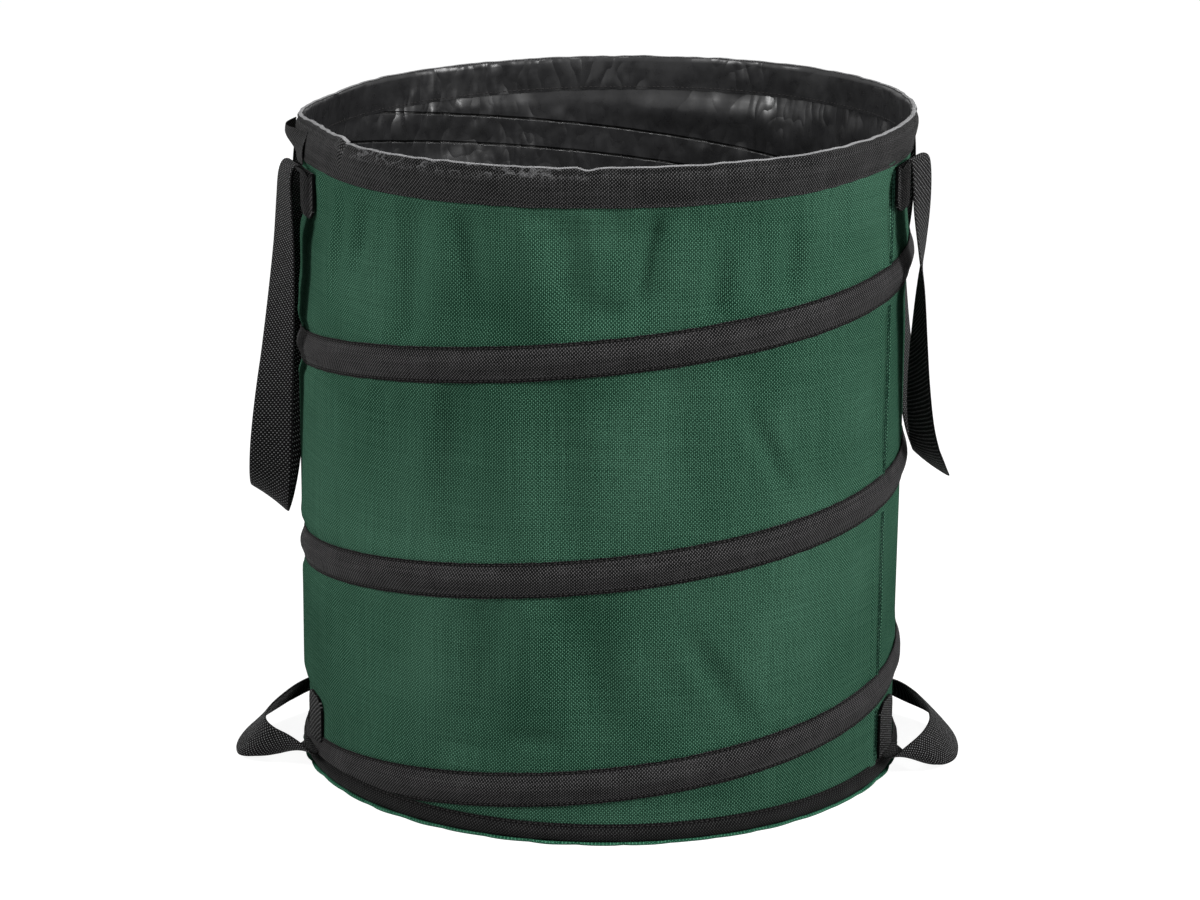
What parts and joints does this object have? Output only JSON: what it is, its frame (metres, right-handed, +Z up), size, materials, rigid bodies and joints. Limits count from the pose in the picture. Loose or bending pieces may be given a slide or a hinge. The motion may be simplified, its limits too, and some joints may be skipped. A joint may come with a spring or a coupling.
{
  "type": "pop up leaf bag",
  "caption": "Collapsible cloth drum for leaves, held open by a coil spring in sewn tape, with a hemmed mouth, hanging carry loops at the sides and short tipping loops at the base.",
  "frame": {"origin": "centre of the base panel's underside, on the floor", "axes": "+Z up through the open mouth; +X towards the right pair of handles, with the mouth's end flap on the -X side; -Y is the front, towards the camera"},
  "size_m": [0.5666, 0.4642, 0.5048],
  "materials": {
    "wall_cloth": "matt coated oxford weave, glossy black inside",
    "base_cloth": "matt coated oxford weave",
    "tape": "matt woven tape",
    "hem": "matt woven tape",
    "webbing": "ribbed webbing",
    "wire": "spring steel"
  },
  "bodies": {
    "base": {"base_panel": "base_cloth", "base_piping": "base_cloth", "base_band": "tape", "base_ring_wire": "wire", "base_ring_ferrule": "wire", "wall_ring_1": "wall_cloth", "side_seam_1": "wall_cloth", "spring_coil": "wire", "spring_tape": "tape", "left_base_front_end": "webbing", "left_base_rear_end": "webbing", "right_base_front_end": "webbing", "right_base_rear_end": "webbing"},
    "lower_wall": {"wall_ring_2": "wall_cloth", "side_seam_2": "wall_cloth"},
    "upper_wall": {"wall_ring_3": "wall_cloth", "side_seam_3": "wall_cloth"},
    "rim": {"wall_ring_4": "wall_cloth", "side_seam_4": "wall_cloth", "rim_hem": "hem", "hem_end_flap": "hem", "rim_ring_wire": "wire", "rim_ring_ferrule": "wire", "left_carry_front_end": "webbing", "left_carry_rear_end": "webbing", "right_carry_front_end": "webbing", "right_carry_rear_end": "webbing"},
    "left_carry": {"left_carry_handle": "webbing"},
    "right_carry": {"right_carry_handle": "webbing"},
    "left_tip": {"left_base_handle": "webbing"},
    "right_tip": {"right_base_handle": "webbing"}
  },
  "joints": [
    {"name": "collapse", "type": "slide", "parent": "base", "child": "rim", "axis": [0, 0, 1], "range_m": [-0.402, 0], "stiffness_N_per_m": 80, "springref_m": 0.12, "deforming": ["wall_ring_1", "wall_ring_2", "wall_ring_3", "wall_ring_4", "side_seam_1", "side_seam_2", "side_seam_3", "side_seam_4", "spring_coil", "spring_tape", "left_carry_handle", "right_carry_handle", "left_carry_front_end", "left_carry_rear_end", "right_carry_front_end", "right_carry_rear_end", "left_base_front_end", "left_base_rear_end", "right_base_front_end", "right_base_rear_end"]},
    {"name": "lower_wall_drop", "type": "slide", "parent": "base", "child": "lower_wall", "axis": [0, 0, 1], "range_m": [-0.091, 0]},
    {"name": "upper_wall_drop", "type": "slide", "parent": "base", "child": "upper_wall", "axis": [0, 0, 1], "range_m": [-0.195, 0]},
    {"name": "left_carry_swing", "type": "hinge", "parent": "rim", "child": "left_carry", "pos_m": [-0.2365, 0, 0.4622], "axis": [0, 1, 0], "range_deg": [0, 180]},
    {"name": "right_carry_swing", "type": "hinge", "parent": "rim", "child": "right_carry", "pos_m": [0.2365, 0, 0.4726], "axis": [0, -1, 0], "range_deg": [0, 180]},
    {"name": "left_tip_swing", "type": "hinge", "parent": "base", "child": "left_tip", "pos_m": [-0.2222, 0, 0.0196], "axis": [0, 1, 0], "range_deg": [0, 60]},
    {"name": "right_tip_swing", "type": "hinge", "parent": "base", "child": "right_tip", "pos_m": [0.2222, 0, 0.0196], "axis": [0, -1, 0], "range_deg": [0, 60]}
  ],
  "couplings": [
    {"joint": "lower_wall_drop", "follows": "collapse", "ratio": 0.2248},
    {"joint": "upper_wall_drop", "follows": "collapse", "ratio": 0.4832}
  ]
}
